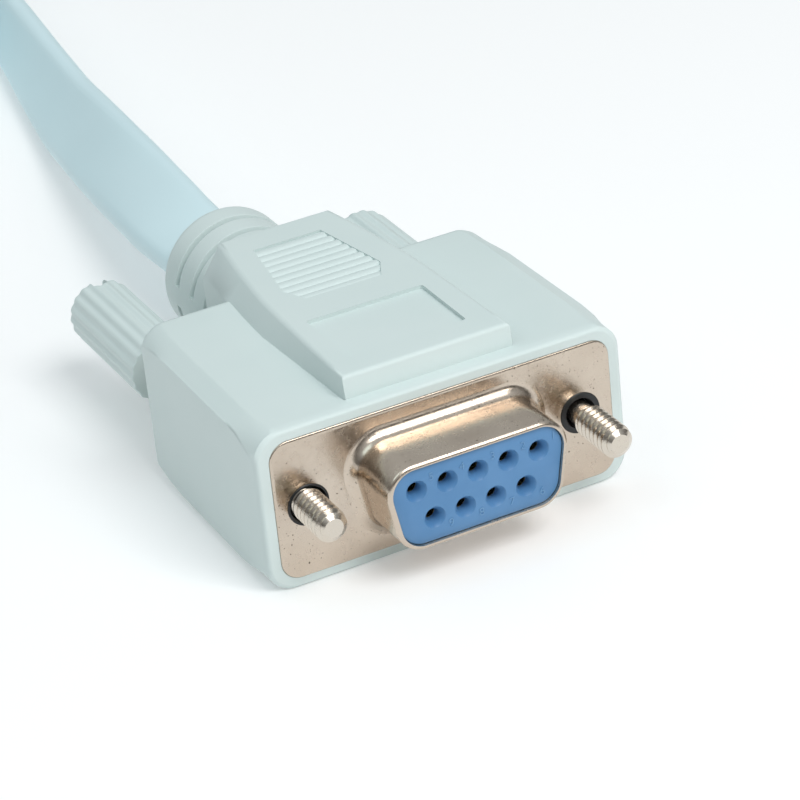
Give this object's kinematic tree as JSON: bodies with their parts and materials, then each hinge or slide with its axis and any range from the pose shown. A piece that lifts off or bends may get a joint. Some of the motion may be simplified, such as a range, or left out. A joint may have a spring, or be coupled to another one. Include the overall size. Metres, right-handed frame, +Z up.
{
  "type": "rj45 console cable",
  "caption": "Console cable: overmoulded D-shell socket connector with thumbscrews and strain relief, flat pale aqua lead wound into a hank, and a clear modular plug.",
  "frame": {"origin": "centre of the underside of the connector's box, without the lead and its plug: the point on the floor below the middle of the connector", "axes": "-Y is the way the mating face looks, +X to the right seen from above with the mating face towards the viewer, +Z up through the raised ridge of the hood"},
  "size_m": [0.0566, 0.2478, 0.0165],
  "materials": {
    "hood_plastic": "moulded soft vinyl, pale aqua, fine satin",
    "lead_jacket": "extruded vinyl, pale aqua, satin",
    "shell_nickel": "drawn sheet steel, bright nickel plate with fine specks",
    "screw_steel": "nickel plated steel, bright",
    "insulator_plastic": "moulded polyester, mid blue, satin",
    "washer_rubber": "black, slightly shiny",
    "contact_metal": "gold flash",
    "tie_fabric": "black woven strap",
    "plug_clear": "clear polycarbonate, glossy"
  },
  "bodies": {
    "connector": {"hood": "hood_plastic", "connector_shell": "shell_nickel", "insulator": "insulator_plastic", "contact_1": "contact_metal", "contact_2": "contact_metal", "contact_3": "contact_metal", "contact_4": "contact_metal", "contact_5": "contact_metal", "contact_6": "contact_metal", "contact_7": "contact_metal", "contact_8": "contact_metal", "contact_9": "contact_metal", "washer_left": "washer_rubber", "washer_right": "washer_rubber", "lead_run": "lead_jacket", "lead_hank": "lead_jacket", "lead_tail": "lead_jacket", "tie_left": "tie_fabric", "tie_right": "tie_fabric", "plug_body": "plug_clear", "plug_contact_1": "contact_metal", "plug_contact_2": "contact_metal", "plug_contact_3": "contact_metal", "plug_contact_4": "contact_metal", "plug_contact_5": "contact_metal", "plug_contact_6": "contact_metal", "plug_contact_7": "contact_metal", "plug_contact_8": "contact_metal"},
    "thumbscrew_left": {"screw_left": "screw_steel", "knob_left": "hood_plastic"},
    "thumbscrew_right": {"screw_right": "screw_steel", "knob_right": "hood_plastic"}
  },
  "joints": [
    {"name": "thumbscrew_left_turn", "type": "hinge", "parent": "connector", "child": "thumbscrew_left", "pos_m": [-0.01249, 0, 0.00725], "axis": [0, 1, 0], "continuous": true},
    {"name": "thumbscrew_right_turn", "type": "hinge", "parent": "connector", "child": "thumbscrew_right", "pos_m": [0.01249, 0, 0.00725], "axis": [0, 1, 0], "continuous": true}
  ]
}
